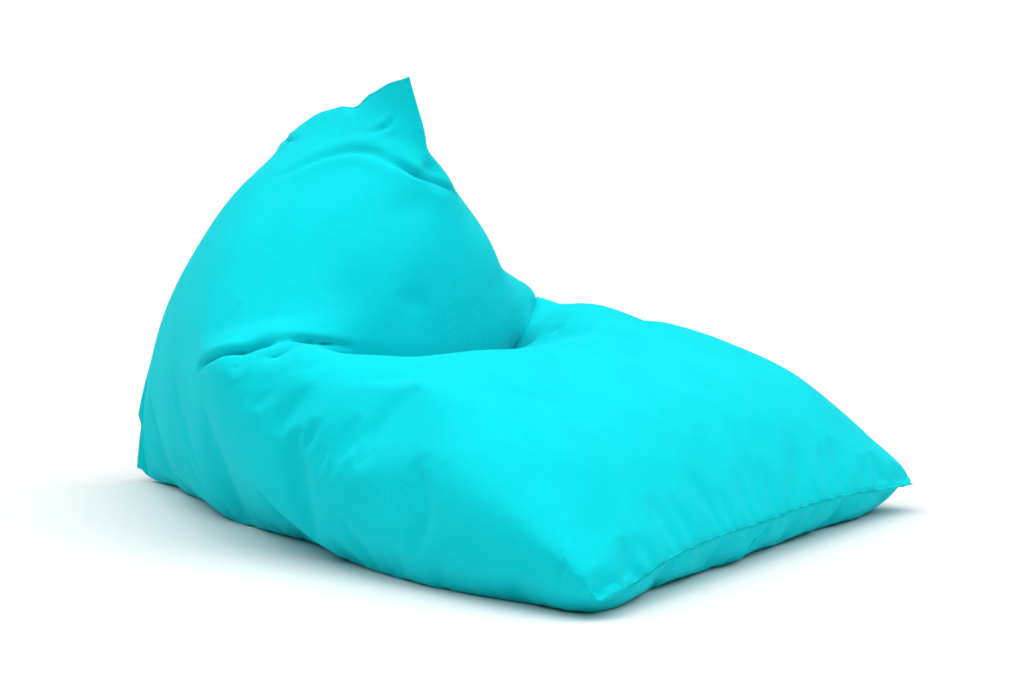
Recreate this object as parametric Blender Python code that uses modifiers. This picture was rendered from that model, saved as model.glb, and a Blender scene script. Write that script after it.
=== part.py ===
"""Bean bag lounger: a sewn fabric cover, an inner liner with its beads, and a zip in each of the two bags.

Metres, +Z up. The front seam faces -Y, the bag is symmetric about X = 0 and stands on Z = 0, and the
origin is under the middle of its length. Each bag is a fabric tube sewn flat at both ends: the front seam
lies across the bag, and the back seam runs up the middle of the back, so the tube turns a quarter between.
"""

import math

import bmesh
import bpy
from mathutils import Matrix, Vector

# Overall size of the filled bag as it stands, and the size that the cage rings below are drawn at.
WIDTH = 1.07
LENGTH = 1.34
HEIGHT = 0.78
DRAWN_WIDTH = 0.97
DRAWN_LENGTH = 1.22
DRAWN_HEIGHT = 0.71
CENTIMETRE = 0.01

# Fabric walls, and the room between one bag and the next.
COVER_WALL = 0.004
LINER_WALL = 0.003
BAG_GAP = 0.007
FILL_GAP = 0.006
# Along the end seams there is more room, because the folded allowances and the zips lie there.
BAG_SEAM_GAP = 0.012
FILL_SEAM_GAP = 0.010
# The four corners are narrow cones that nothing inside reaches into, so the inner bags stop this much
# deeper there.
CORNER_ROOM = 0.045
CORNER_DEPTHS = 2.0

# The zips follow the round lower part of the back seam, which is the arc of one circle.
ZIP_LENGTH = 0.345
ZIP_ABOVE_FOOT = 0.11
PLACKET_HALF = 0.014
TAPE_HALF = 0.0105
TAPE_THICKNESS = 0.0008
TAPE_RECESS = 0.003
COIL_WIDTH = 0.0026
COIL_HEIGHT = 0.002
COIL_SPLIT = 0.0012
TOUCH_GAP = 0.0003
STOP_LENGTH = 0.003
PARK_GAP = 0.0005
ARC_STEPS = 14

SLIDER_LENGTH = 0.011
SLIDER_PLATE = 0.0011
SLIDER_LIP = 0.0010
SLIDER_WEB_LENGTH = 0.004
BRIDGE_WIDTH = 0.0016
BRIDGE_POST = 0.0010
BRIDGE_SPAN = 0.0072
PULL_THICKNESS = 0.0012
PULL_WIDTH = 0.0072
PULL_LENGTH = 0.026
PULL_EYE = 0.0044
PULL_BAR = 0.0016
PULL_EYE_HALF = 0.0012
PULL_HOLE_RADIUS = 0.0018

# Half cage, in centimetres at the drawn size. Each ring goes round the tube from the top line (x = 0), over the
# seat or the backrest, to the side line, and under the base to the bottom line (x = 0).
FRONT_SEAM = ((0, 0, 6), (12.5, 0, 6), (25, 0, 5.5), (37, 0, 4.5), (47.5, 0, 3))
RINGS = (
    # Seat: the front rolls up from the seam, then the top runs back to the crease.
    ((0, 4.5, 15.5), (12.5, 4.5, 15.5), (25, 5, 15), (37, 5.5, 14), (48.5, 6.5, 9),
     (41.5, 6, 0), (27, 6, 0), (13, 6, 0), (0, 6, 0)),
    ((0, 13.5, 23.5), (12.5, 13.5, 23.5), (25, 14, 23), (37, 15, 22), (48, 18, 14),
     (42, 18, 0), (28, 18, 0), (14, 18, 0), (0, 18, 0)),
    ((0, 27, 28), (12.5, 27, 28), (25.5, 27.5, 28), (37, 28.5, 26), (46, 31.5, 16.5),
     (41, 31.5, 0), (28.5, 32, 0), (14.5, 32, 0), (0, 32, 0)),
    ((0, 40, 28.5), (13, 40, 29.5), (26, 40, 30.5), (36, 42, 28), (43.5, 45.5, 18),
     (38.5, 44.5, 1), (28, 45, 0), (14.5, 45.5, 0), (0, 45.5, 0)),
    ((0, 50, 26), (13.5, 50.5, 27.5), (27, 51.5, 31), (36.5, 54, 29), (41, 57, 19.5),
     (35.5, 57, 3), (26.5, 57.5, 0), (13.5, 58, 0), (0, 58, 0)),
    # Crease between the seat and the backrest.
    ((0, 58, 20.5), (14, 58.5, 21.5), (27, 62.5, 26.5), (37.5, 65, 29), (38.5, 68, 20.5),
     (32, 68, 5), (24, 68.5, 0), (12, 69, 0), (0, 69, 0)),
    # Backrest, narrowing into the ear.
    ((0, 56.5, 31), (14.5, 57.5, 31.5), (27, 63, 33.5), (36.5, 71.5, 31), (34.5, 77.5, 23.5),
     (28, 79, 7.5), (21, 80, 0), (10.5, 80, 0), (0, 80, 0)),
    ((0, 56.5, 43), (14, 59.5, 43), (23.5, 69, 43), (30, 78.5, 37.5), (28, 86, 28.5),
     (23.5, 90, 12), (18, 92, 1.5), (9, 92, 0), (0, 92, 0)),
    ((0, 59, 53.5), (10.5, 65, 53), (17, 75, 52), (22, 85, 45.5), (19.5, 94.5, 35.5),
     (16.5, 101, 20), (13, 104, 7.5), (7, 105, 0.5), (0, 105, 0)),
    ((0, 62, 61), (4, 71, 61.5), (7.5, 82, 58.5), (10, 92, 52), (10, 100.5, 41.5),
     (8.5, 108, 29), (6.5, 112.5, 17), (4.5, 114.5, 6), (0, 115, 0)),
)
# Back seam: the ear's tip and upper edge, then three points that the zip's arc goes through.
EAR_SEAM = ((0, 65.5, 71), (0, 76, 66.5), (0, 86, 61), (0, 95, 53))
SHOULDER = (0, 103.5, 43)
ARC_MIDDLE = (0, 116.5, 23.5)
FOOT = (0, 122, 2)

SIDE_COLUMN = 4
BOTTOM_COLUMN = 8
COLUMNS_ROUND = 16
EAR_COLUMNS = len(EAR_SEAM)


def placed(point):
    """A drawn point as a world point on the near (-X) half of the bag."""
    x, y, z = point
    return Vector((
        -x * CENTIMETRE * WIDTH / DRAWN_WIDTH,
        y * CENTIMETRE * LENGTH / DRAWN_LENGTH - LENGTH / 2,
        z * CENTIMETRE * HEIGHT / DRAWN_HEIGHT,
    ))


def circle_through(first, second, third):
    """Centre and radius, in the plane X = 0, of the circle through three points."""
    a = second - first
    b = third - first
    cross = 2 * (a.y * b.z - a.z * b.y)
    centre = Vector((
        0,
        first.y + (b.z * a.length_squared - a.z * b.length_squared) / cross,
        first.z + (a.y * b.length_squared - b.y * a.length_squared) / cross,
    ))
    return centre, (first - centre).length


def angle_about(centre, point):
    return math.atan2(point.z - centre.z, point.y - centre.y)


ARC_CENTRE, SEAM_RADIUS = circle_through(placed(FOOT), placed(ARC_MIDDLE), placed(SHOULDER))
FOOT_ANGLE = angle_about(ARC_CENTRE, placed(FOOT))
SHOULDER_ANGLE = angle_about(ARC_CENTRE, placed(SHOULDER))
ARC_COLUMNS = BOTTOM_COLUMN - EAR_COLUMNS
# Subdivision pulls the seam in from the cage's corners by this much.
CAGE_SAG = SEAM_RADIUS * (1 - math.cos((SHOULDER_ANGLE - FOOT_ANGLE) / ARC_COLUMNS / 2))
PLACKET_RADIUS = SEAM_RADIUS - CAGE_SAG
ZIP_BOTTOM = FOOT_ANGLE + ZIP_ABOVE_FOOT / PLACKET_RADIUS
ZIP_TOP = ZIP_BOTTOM + ZIP_LENGTH / PLACKET_RADIUS


def on_arc(radius, angle, x=0.0):
    return ARC_CENTRE + Vector((x, radius * math.cos(angle), radius * math.sin(angle)))


def towards(start, end, distance):
    return start + (end - start).normalized() * distance


def corner_inset(corner, ring, columns, depth):
    """A corner of an inner bag, moved in towards the middle of these columns of its nearest ring."""
    if depth == 0:
        return corner
    near = sum((placed(ring[column]) for column in columns), Vector()) / len(columns)
    if corner.x == 0:
        near.x = 0
    return towards(corner, near, CORNER_ROOM + CORNER_DEPTHS * depth)


def back_seam_point(column, depth):
    """The back seam at one column, moved in by depth: towards the arc's centre, or down the ear."""
    if column == 0:
        return corner_inset(placed(EAR_SEAM[0]), RINGS[-1], (1,), depth)
    if column == BOTTOM_COLUMN:
        return corner_inset(placed(FOOT), RINGS[-1], (BOTTOM_COLUMN - 1,), depth)
    if column >= EAR_COLUMNS:
        share = (column - EAR_COLUMNS) / ARC_COLUMNS
        return on_arc(SEAM_RADIUS - depth, SHOULDER_ANGLE + share * (FOOT_ANGLE - SHOULDER_ANGLE))
    inner = placed(RINGS[-1][column])
    inner.x = 0
    return towards(placed(EAR_SEAM[column]), inner, depth)


def clear_the_scene():
    for old in list(bpy.data.objects):
        bpy.data.objects.remove(old)
    for old in list(bpy.data.collections):
        bpy.data.collections.remove(old)


def material(name, colour, roughness, metallic=0.0):
    made = bpy.data.materials.new(name)
    made.use_nodes = True
    shader = made.node_tree.nodes["Principled BSDF"]
    shader.inputs["Base Color"].default_value = (*colour, 1)
    shader.inputs["Roughness"].default_value = roughness
    shader.inputs["Metallic"].default_value = metallic
    made.diffuse_color = (*colour, 1)
    return made


def new_object(name, mesh, collection):
    made = bpy.data.objects.new(name, mesh)
    collection.objects.link(made)
    return made


def finished_part(obj, colour, roughness, metallic=0.0):
    obj.data.materials.clear()
    obj.data.materials.append(material(obj.name + "_surface", colour, roughness, metallic))
    return obj


def bag_cage(depth, seam_depth):
    """Closed control cage of the bag, moved in by depth on its panels and by seam_depth at its end seams."""
    cage = bmesh.new()
    crease_edge = cage.edges.layers.float.new("crease_edge")
    crease_vert = cage.verts.layers.float.new("crease_vert")
    corners = []

    front = {}
    for column, point in enumerate(FRONT_SEAM):
        for side in (1, -1):
            spot = placed(point)
            if column == SIDE_COLUMN:
                beside = (SIDE_COLUMN - 1, SIDE_COLUMN + 1)
                spot = corner_inset(spot, RINGS[0], beside, seam_depth)
            else:
                spot.y += seam_depth
            spot.x *= side
            if column > 0 or side > 0:
                front[side * column] = cage.verts.new(spot)
    corners += [front[SIDE_COLUMN], front[-SIDE_COLUMN]]

    rings = []
    for ring in RINGS:
        near = [placed(point) for point in ring]
        far = [Vector((-p.x, p.y, p.z)) for p in reversed(near[1:-1])]
        rings.append([cage.verts.new(spot) for spot in near + far])

    back = {}
    for column in range(BOTTOM_COLUMN + 1):
        spot = back_seam_point(column, seam_depth)
        if EAR_COLUMNS <= column < BOTTOM_COLUMN:
            for side in (1, -1):
                back[side * column] = cage.verts.new(spot + Vector((-side * PLACKET_HALF, 0, 0)))
        else:
            back[column] = back[-column] = cage.verts.new(spot)
    corners += [back[0], back[BOTTOM_COLUMN]]

    def around(index):
        """Signed column of a place in a ring: 0 to 8 on the near half, -7 to -1 on the far half."""
        index %= COLUMNS_ROUND
        return index if index <= BOTTOM_COLUMN else index - COLUMNS_ROUND

    def front_vert(index):
        column = around(index)
        if abs(column) > SIDE_COLUMN:
            column = int(math.copysign(BOTTOM_COLUMN - abs(column), column))
        return front[column]

    rows = [[front_vert(i) for i in range(COLUMNS_ROUND)]]
    rows += rings
    rows += [[back[around(i)] for i in range(COLUMNS_ROUND)]]
    for low, high in zip(rows, rows[1:]):
        for i in range(COLUMNS_ROUND):
            j = (i + 1) % COLUMNS_ROUND
            cage.faces.new((low[i], low[j], high[j], high[i]))
    for column in range(EAR_COLUMNS - 1, BOTTOM_COLUMN):
        strip = [back[column], back[column + 1], back[-column - 1], back[-column]]
        cage.faces.new(list(dict.fromkeys(strip)))
    bmesh.ops.recalc_face_normals(cage, faces=cage.faces)

    cage.normal_update()
    moves = [(vert, vert.normal * -depth * vert.calc_shell_factor()) for ring in rings for vert in ring]
    for vert, move in moves:
        vert.co += move
    for i in range(-SIDE_COLUMN, SIDE_COLUMN):
        cage.edges.get((front[i], front[i + 1]))[crease_edge] = 1
    for side in (1, -1):
        for column in range(BOTTOM_COLUMN):
            cage.edges.get((back[side * column], back[side * (column + 1)]))[crease_edge] = 1
    for corner in corners:
        corner[crease_vert] = 1
    return cage


def bag_solid(name, depth, seam_depth, wall, collection):
    cage = bag_cage(depth, seam_depth)
    mesh = bpy.data.meshes.new(name)
    cage.to_mesh(mesh)
    cage.free()
    mesh.shade_smooth()
    solid = new_object(name, mesh, collection)
    smooth = solid.modifiers.new("rounded", "SUBSURF")
    smooth.levels = 1
    smooth.render_levels = 1
    # Each facet is split from a cage point to a face centre, or the two facets at a corner would lie on
    # each other.
    facets = solid.modifiers.new("facets", "TRIANGULATE")
    facets.quad_method = "FIXED"
    if wall > 0:
        fabric = solid.modifiers.new("fabric", "SOLIDIFY")
        fabric.thickness = wall
        fabric.offset = -1
        fabric.solidify_mode = "NON_MANIFOLD"
        fabric.nonmanifold_thickness_mode = "CONSTRAINTS"
    return solid


def arc_bar(name, x_low, x_high, r_low, r_high, start, end, collection):
    """A bar of rectangular section bent along the zip's arc."""
    bar = bmesh.new()
    profile = [on_arc(r, start, x) - ARC_CENTRE
               for x, r in ((x_low, r_low), (x_high, r_low), (x_high, r_high), (x_low, r_high))]
    face = bar.faces.new([bar.verts.new(point) for point in profile])
    bmesh.ops.spin(
        bar, geom=[face], cent=(0, 0, 0), axis=(1, 0, 0), angle=end - start, steps=ARC_STEPS,
    )
    bmesh.ops.recalc_face_normals(bar, faces=bar.faces)
    mesh = bpy.data.meshes.new(name)
    bar.to_mesh(mesh)
    bar.free()
    made = new_object(name, mesh, collection)
    made.location = ARC_CENTRE
    return made


def cut(target, cutter, operation="DIFFERENCE"):
    boolean = target.modifiers.new(cutter.name, "BOOLEAN")
    boolean.operation = operation
    boolean.solver = "EXACT"
    boolean.object = cutter


def as_cutter(obj):
    obj.hide_render = True
    obj.display_type = "WIRE"
    return obj


def block(name, x, n, t, collection):
    """A box with its ranges along x, outward (n) and up the zip (t)."""
    box = bmesh.new()
    bmesh.ops.create_cube(box, size=1)
    size = Vector((x[1] - x[0], n[1] - n[0], t[1] - t[0]))
    middle = Vector((x[0] + x[1], n[0] + n[1], t[0] + t[1])) / 2
    bmesh.ops.transform(box, matrix=Matrix.Translation(middle) @ Matrix.Diagonal((*size, 1)), verts=box.verts)
    mesh = bpy.data.meshes.new(name)
    box.to_mesh(mesh)
    box.free()
    return new_object(name, mesh, collection)


def fused(name, pieces, holes, collection):
    """One solid from overlapping pieces less the holes, with its Booleans applied."""
    base = pieces[0]
    for piece in pieces[1:]:
        cut(base, piece, "UNION")
    for hole in holes:
        cut(base, hole)
    bpy.context.view_layer.update()
    evaluated = base.evaluated_get(bpy.context.evaluated_depsgraph_get())
    made = new_object(name, bpy.data.meshes.new_from_object(evaluated), collection)
    made.data.name = name
    for piece in pieces + holes:
        bpy.data.objects.remove(piece)
    return made


def stand_on_arc(obj, angle, origin_radius, build_radius):
    """Moves a piece built at (0, 0, 0) out to build_radius at this angle, its origin to origin_radius."""
    obj.data.transform(Matrix.Translation((0, build_radius - origin_radius, 0)))
    if origin_radius == 0:
        obj.data.transform(Matrix.Rotation(angle, 4, "X"))
        obj.location = ARC_CENTRE
    else:
        obj.rotation_euler = (angle, 0, 0)
        obj.location = on_arc(origin_radius, angle)


def add_zip(prefix, bag, bag_wall, radius, colours, with_pull, parts, cutters):
    """A coil zip set into a slot in the bag's placket, its face at this radius from the arc's centre."""
    end_gap = TOUCH_GAP / radius
    stop_angle = STOP_LENGTH / radius
    tape_out = radius - TAPE_RECESS
    coil_in = tape_out + TOUCH_GAP
    coil_out = coil_in + COIL_HEIGHT
    coil_half = COIL_SPLIT / 2 + COIL_WIDTH
    tape_colour, coil_colour, metal_colour = colours

    slot_half = TAPE_HALF + TOUCH_GAP
    slot = as_cutter(arc_bar(
        prefix + "_slot_cutter", -slot_half, slot_half, radius - bag_wall - BAG_GAP, radius + PLACKET_HALF,
        ZIP_BOTTOM, ZIP_TOP, cutters,
    ))
    cut(bag, slot)

    bottom = ZIP_BOTTOM + end_gap
    top = ZIP_TOP - end_gap
    for side, name in ((-1, "left"), (1, "right")):
        xs = sorted((side * COIL_SPLIT / 2, side * TAPE_HALF))
        tape = arc_bar(
            f"{prefix}_tape_{name}", *xs, tape_out - TAPE_THICKNESS, tape_out, bottom, top, parts,
        )
        finished_part(tape, tape_colour, 0.85)
        xs = sorted((side * COIL_SPLIT / 2, side * coil_half))
        coil = arc_bar(
            f"{prefix}_coil_{name}", *xs, coil_in, coil_out,
            bottom + stop_angle + end_gap, top - stop_angle - end_gap, parts,
        )
        finished_part(coil, coil_colour, 0.5)
    for name, start in (("stop_bottom", bottom), ("stop_top", top - stop_angle)):
        stop = arc_bar(
            f"{prefix}_{name}", -coil_half, coil_half, coil_in, coil_out + SLIDER_PLATE / 2,
            start, start + stop_angle, parts,
        )
        finished_part(stop, metal_colour, 0.4, 1.0)

    # The slider parks against the top stop with the zip closed.
    half = SLIDER_LENGTH / 2
    body_half = coil_half + TOUCH_GAP + SLIDER_LIP
    face = coil_out + TOUCH_GAP - radius
    tape_face = tape_out - radius
    under = tape_face - TAPE_THICKNESS - TOUCH_GAP
    web_half = COIL_SPLIT / 2 - TOUCH_GAP
    outside = face + SLIDER_PLATE
    pieces = [
        block("plate_out", (-body_half, body_half), (face, outside), (-half, half), parts),
        block("plate_in", (-body_half, body_half), (under - SLIDER_PLATE, under), (-half, half), parts),
        block("web", (-web_half, web_half), (under - SLIDER_PLATE / 2, face + SLIDER_PLATE / 2),
              (half - SLIDER_WEB_LENGTH, half - TOUCH_GAP), parts),
    ]
    for side in (-1, 1):
        xs = sorted((side * (body_half - SLIDER_LIP), side * body_half))
        pieces.append(block(f"lip_{side}", xs, (tape_face + TOUCH_GAP, face + SLIDER_PLATE / 2),
                            (-half, half), parts))
    holes = []
    hinge_height = outside + PULL_BAR / 2 + 2 * TOUCH_GAP
    bridge_in = hinge_height + PULL_BAR / 2 + 2 * TOUCH_GAP
    if with_pull:
        span = BRIDGE_SPAN / 2
        pieces.append(block("bridge", (-BRIDGE_WIDTH / 2, BRIDGE_WIDTH / 2),
                            (outside - SLIDER_PLATE / 2, bridge_in + BRIDGE_POST), (-span, span), parts))
        holes.append(block("bridge_opening", (-BRIDGE_WIDTH, BRIDGE_WIDTH), (outside, bridge_in),
                           (-span + BRIDGE_POST, span - BRIDGE_POST), parts))
    slider = fused(prefix + "_slider", pieces, holes, parts)
    park_angle = top - stop_angle - (half + PARK_GAP) / radius
    stand_on_arc(slider, park_angle, 0, radius)
    finished_part(slider, metal_colour, 0.35, 1.0)

    travel = park_angle - (bottom + stop_angle + (half + PARK_GAP) / radius)
    print(f"{prefix} slider: axis through {tuple(round(v, 5) for v in ARC_CENTRE)}, travel "
          f"{math.degrees(travel):.3f} deg, park angle {math.degrees(park_angle):.3f} deg")
    if not with_pull:
        return
    plate = block("pull_plate", (-PULL_WIDTH / 2, PULL_WIDTH / 2), (-PULL_THICKNESS / 2, PULL_THICKNESS / 2),
                  (-PULL_LENGTH + PULL_BAR / 2, PULL_BAR / 2), parts)
    eye = block("eye", (-PULL_EYE_HALF, PULL_EYE_HALF), (-PULL_THICKNESS, PULL_THICKNESS),
                (-PULL_BAR / 2 - PULL_EYE, -PULL_BAR / 2), parts)
    ring = bmesh.new()
    bmesh.ops.create_cone(ring, cap_ends=True, segments=16, radius1=PULL_HOLE_RADIUS, radius2=PULL_HOLE_RADIUS,
                          depth=2 * PULL_THICKNESS, matrix=Matrix.Rotation(math.pi / 2, 4, "X"))
    mesh = bpy.data.meshes.new("finger_hole")
    ring.to_mesh(mesh)
    ring.free()
    mesh.transform(Matrix.Translation((0, 0, -PULL_LENGTH + PULL_BAR / 2 + 2 * PULL_HOLE_RADIUS)))
    finger_hole = new_object("finger_hole", mesh, parts)
    pull = fused(prefix + "_pull_tab", [plate], [eye, finger_hole], parts)
    stand_on_arc(pull, park_angle, radius + hinge_height, radius + hinge_height)
    finished_part(pull, metal_colour, 0.35, 1.0)
    print(f"{prefix} pull tab hinge: {tuple(round(v, 5) for v in pull.location)}")


def main():
    clear_the_scene()
    parts = bpy.data.collections.new("bean_bag")
    cutters = bpy.data.collections.new("cutters")
    for collection in (parts, cutters):
        bpy.context.scene.collection.children.link(collection)
    cutters.hide_render = True

    cover = bag_solid("cover", 0, 0, COVER_WALL, parts)
    liner_depth = COVER_WALL + BAG_GAP
    liner_seam = COVER_WALL + BAG_SEAM_GAP
    liner = bag_solid("liner", liner_depth, liner_seam, LINER_WALL, parts)
    fill_depth = liner_depth + LINER_WALL + FILL_GAP
    fill_seam = liner_seam + LINER_WALL + FILL_SEAM_GAP
    fill = bag_solid("bead_fill", fill_depth, fill_seam, 0, parts)

    turquoise = (0.0, 0.62, 0.68)
    add_zip("zip", cover, COVER_WALL, PLACKET_RADIUS,
            (turquoise, (0.0, 0.55, 0.6), (0.55, 0.56, 0.58)), True, parts, cutters)
    add_zip("liner_zip", liner, LINER_WALL, PLACKET_RADIUS - liner_seam,
            ((0.8, 0.8, 0.78), (0.85, 0.85, 0.83), (0.55, 0.56, 0.58)), False, parts, cutters)

    finished_part(cover, turquoise, 0.85)
    finished_part(liner, (0.85, 0.85, 0.83), 0.9)
    finished_part(fill, (0.92, 0.92, 0.92), 0.7)


main()
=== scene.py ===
"""Looks of the bean bag lounger: fabric cover, liner and beads, zips, floor, lights and camera.

Metres, in the CAD part's own frame: the front seam faces -Y and the bag is symmetric about X = 0. Places
on the fabric are given as (ring, column): rings 0 to 11 run from the front seam to the back seam, and
columns 0 to 16 run round the tube from the top line (0) down the -X side (4) to the bottom line (8) and up
the +X side (12).
"""

import math

import bmesh
import bpy
import numpy as np
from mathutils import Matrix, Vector


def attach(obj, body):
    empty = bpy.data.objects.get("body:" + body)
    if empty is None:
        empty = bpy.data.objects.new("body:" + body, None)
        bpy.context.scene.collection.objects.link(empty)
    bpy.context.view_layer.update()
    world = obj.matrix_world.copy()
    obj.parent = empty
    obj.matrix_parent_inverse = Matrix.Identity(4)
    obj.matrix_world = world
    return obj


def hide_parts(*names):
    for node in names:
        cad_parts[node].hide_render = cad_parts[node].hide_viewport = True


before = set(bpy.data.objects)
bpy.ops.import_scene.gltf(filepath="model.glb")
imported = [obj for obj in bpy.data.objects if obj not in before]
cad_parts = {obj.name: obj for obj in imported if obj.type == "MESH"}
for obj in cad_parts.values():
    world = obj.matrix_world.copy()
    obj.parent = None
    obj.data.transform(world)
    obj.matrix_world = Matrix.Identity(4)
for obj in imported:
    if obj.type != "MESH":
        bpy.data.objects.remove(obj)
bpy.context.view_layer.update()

MM = 0.001
SEWN = 2e-6

# The part's own control rings, in centimetres at the size they were drawn, on the -X half of the bag.
FRONT_SEAM = ((0, 0, 6.6), (12.5, 0, 6.8), (25, 0, 6.3), (37, 0, 5.2), (47.8, 0, 3.6))
RINGS = (
    ((0, 4.5, 15.5), (12.5, 4.5, 15.5), (25, 5, 15), (37, 5.5, 14), (48.5, 6.5, 9),
     (41.5, 6, 0), (27, 6, 0), (13, 6, 0), (0, 6, 0)),
    ((0, 13.5, 23.5), (12.5, 13.5, 23.5), (25, 14, 23), (37, 15, 22), (48, 18, 14),
     (42, 18, 0), (28, 18, 0), (14, 18, 0), (0, 18, 0)),
    ((0, 27, 28), (12.5, 27, 28), (25.5, 27.5, 28), (37, 28.5, 26), (46, 31.5, 16.5),
     (41, 31.5, 0), (28.5, 32, 0), (14.5, 32, 0), (0, 32, 0)),
    ((0, 40, 28.5), (13, 40, 29.5), (26, 40, 30.5), (36, 42, 28), (43.5, 45.5, 18),
     (38.5, 44.5, 1), (28, 45, 0), (14.5, 45.5, 0), (0, 45.5, 0)),
    ((0, 50, 26), (13.5, 50.5, 27.5), (27, 51.5, 31), (36.5, 54, 29), (41, 57, 19.5),
     (35.5, 57, 3), (26.5, 57.5, 0), (13.5, 58, 0), (0, 58, 0)),
    ((0, 58, 20.5), (14, 58.5, 21.5), (27, 62.5, 26.5), (37.5, 65, 29), (38.5, 68, 20.5),
     (32, 68, 5), (24, 68.5, 0), (12, 69, 0), (0, 69, 0)),
    ((0, 56.5, 31), (14.5, 57.5, 31.5), (27, 63, 33.5), (36.5, 71.5, 31), (34.5, 77.5, 23.5),
     (28, 79, 7.5), (21, 80, 0), (10.5, 80, 0), (0, 80, 0)),
    ((0, 56.5, 43), (14, 59.5, 43), (23.5, 69, 43), (30, 78.5, 37.5), (28, 86, 28.5),
     (23.5, 90, 12), (18, 92, 1.5), (9, 92, 0), (0, 92, 0)),
    ((0, 59, 53.5), (10.5, 65, 53), (17, 75, 52), (22, 85, 45.5), (19.5, 94.5, 35.5),
     (16.5, 101, 20), (13, 104, 7.5), (7, 105, 0.5), (0, 105, 0)),
    ((0, 62, 61), (4, 71, 61.5), (7.5, 82, 58.5), (10, 92, 52), (10, 100.5, 41.5),
     (8.5, 108, 29), (6.5, 112.5, 17), (4.5, 114.5, 6), (0, 115, 0)),
)
EAR_SEAM = ((0, 65.5, 71), (0, 76, 66.6), (0, 87, 62), (0, 95.3, 53.3))
SHOULDER = (0, 103.5, 43)
ARC_MIDDLE = (0, 116.5, 23.5)
FOOT = (0, 122, 2)
DRAWN_SIZE = np.array((0.97, 1.22, 0.71))
REAL_SIZE = np.array((1.07, 1.34, 0.78))
SPANS = len(RINGS) + 1
SIDE = 4
BOTTOM = 8
ROUND = 16
EAR_COLUMNS = len(EAR_SEAM)
CORNERS = ((0, SIDE), (0, ROUND - SIDE), (SPANS, 0), (SPANS, BOTTOM))

# Fineness of the grid that the fabric settles on, and of the finished one, in steps to a span of the cage.
SETTLE_ROWS = 12
SETTLE_COLUMNS = 12
FINER = 2
FINER_ENDS = 4

# Cloth simulation of the cover: slack is the most extra length, and the cap is the most that a point
# may move.
CLOTH_FRAMES = 24
CLOTH_QUALITY = 5
CLOTH_MASS = 0.25
CLOTH_AIR = 3
CLOTH_STRETCH = 18
CLOTH_SHEAR = 6
CLOTH_SLACK = 0.05
CLOTH_PRESSURE = 0.5
CLOTH_BENDING = 1.5
CLOTH_HOLD = 0.6
CLOTH_CAP = 0.024
# Places where the fabric is slack, taut or held: an amount, then (from, to, edge) in rings, and in
# columns from the
# top line where it doesn't go all the way round.
SLACK_ALL = 0.12
SLACK_PLACES = (
    (0.35, (0, 0.3, 0.7), None),
    (0.3, (10.4, 11, 1.2), None),
    (0.35, (4.8, 6.6, 1.0), (0, 4.2, 1.2)),
    (0.22, (1.5, 9, 1.0), (3.6, 5.6, 1.0)),
)
TAUT_EAR = (0.9, (8.8, 11, 1.0), (-1, 3, 1.5))
HELD_EAR = (0.3, (9.6, 11, 0.8), (-1, 2.5, 1))
HELD_ON_FLOOR = 0.6
HELD_ELSEWHERE = 0.08
ON_FLOOR = 0.004

WEAVE_PITCH = 0.0013
# Lowest and highest colour of each material, as linear red, green and blue.
TURQUOISE = ((0.0008, 0.60, 0.66), (0.0022, 0.71, 0.775))
TURQUOISE_TAPE = ((0.0, 0.42, 0.47), (0.004, 0.60, 0.66))
TURQUOISE_NYLON = ((0.0, 0.40, 0.45), (0.0, 0.48, 0.53))
WHITE_NONWOVEN = ((0.78, 0.78, 0.76), (0.88, 0.88, 0.86))
WHITE_TAPE = ((0.62, 0.62, 0.60), (0.85, 0.85, 0.83))
WHITE_NYLON = ((0.70, 0.70, 0.69), (0.82, 0.82, 0.80))
# Beads: the white of a bead's middle, then the painted shade in the gaps between beads.
BEAD_WHITE_AND_PAINTED_GAP_SHADE = ((0.93, 0.93, 0.92), (0.66, 0.67, 0.68))
NICKEL = ((0.42, 0.42, 0.43), (0.62, 0.61, 0.60))

# Ribs that the front and back seams gather the fabric into, in millimetres.
RIB_FINE = 17
RIB_BROAD = 43
RIB_FINE_HEIGHT = 3.2
RIB_BROAD_HEIGHT = 4.0
SEAM_GROOVE = 5
RIB_FINE_REACH = 13
RIB_BROAD_REACH = 34
RIB_RISE = 3
RIB_MEAN = 0.6
GROOVE_REACH = 6
BACK_GROOVE = 0.3
WARP = 0.8
BROAD_WARP = 1.7
WARP_LENGTH = 60
AMOUNT_LENGTH = 90
AMOUNT_SEED = 7
FRONT_SEED = 3
BACK_SEED = 5
# How strongly the fabric gathers: at each X of the front seam, and at each column of the back seam.
FRONT_GATHERS = ((-0.5, 1.0), (-0.42, 1.0), (-0.25, 0.55), (0, 0.35), (0.25, 0.6), (0.38, 0.9), (0.5, 0.5))
BACK_GATHERS = ((0, 0.2), (1, 0.5), (3, 0.8), (4, 0.6), (6, 0.6), (8, 0.8))

# Folds: a path of (ring, column) places, a profile across it as (distance, height) in mm, and its
# strength along
# the path. Positive distances lie on the left of the path, seen from outside.
SHARP_CREASE = ((-60, 0), (-28, 5), (-8, 6), (0, -22), (7, 4), (26, 7), (60, 0))
EAR_CREASE = ((-60, 0), (-26, 3), (-10, 2), (0, -22), (10, 1), (24, 3), (60, 0))
SOFT_CREASE = ((-45, 0), (-18, 3), (0, -6), (16, 3), (40, 0))
SOFT_WRINKLE = ((-26, 0), (-11, 1.6), (0, -2.6), (11, 1.6), (26, 0))
NOTCH = ((-30, 0), (-9, 3), (0, -8), (9, 3), (30, 0))
CREASE_STEPS = 12
PROFILE_STEPS = 8
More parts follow.
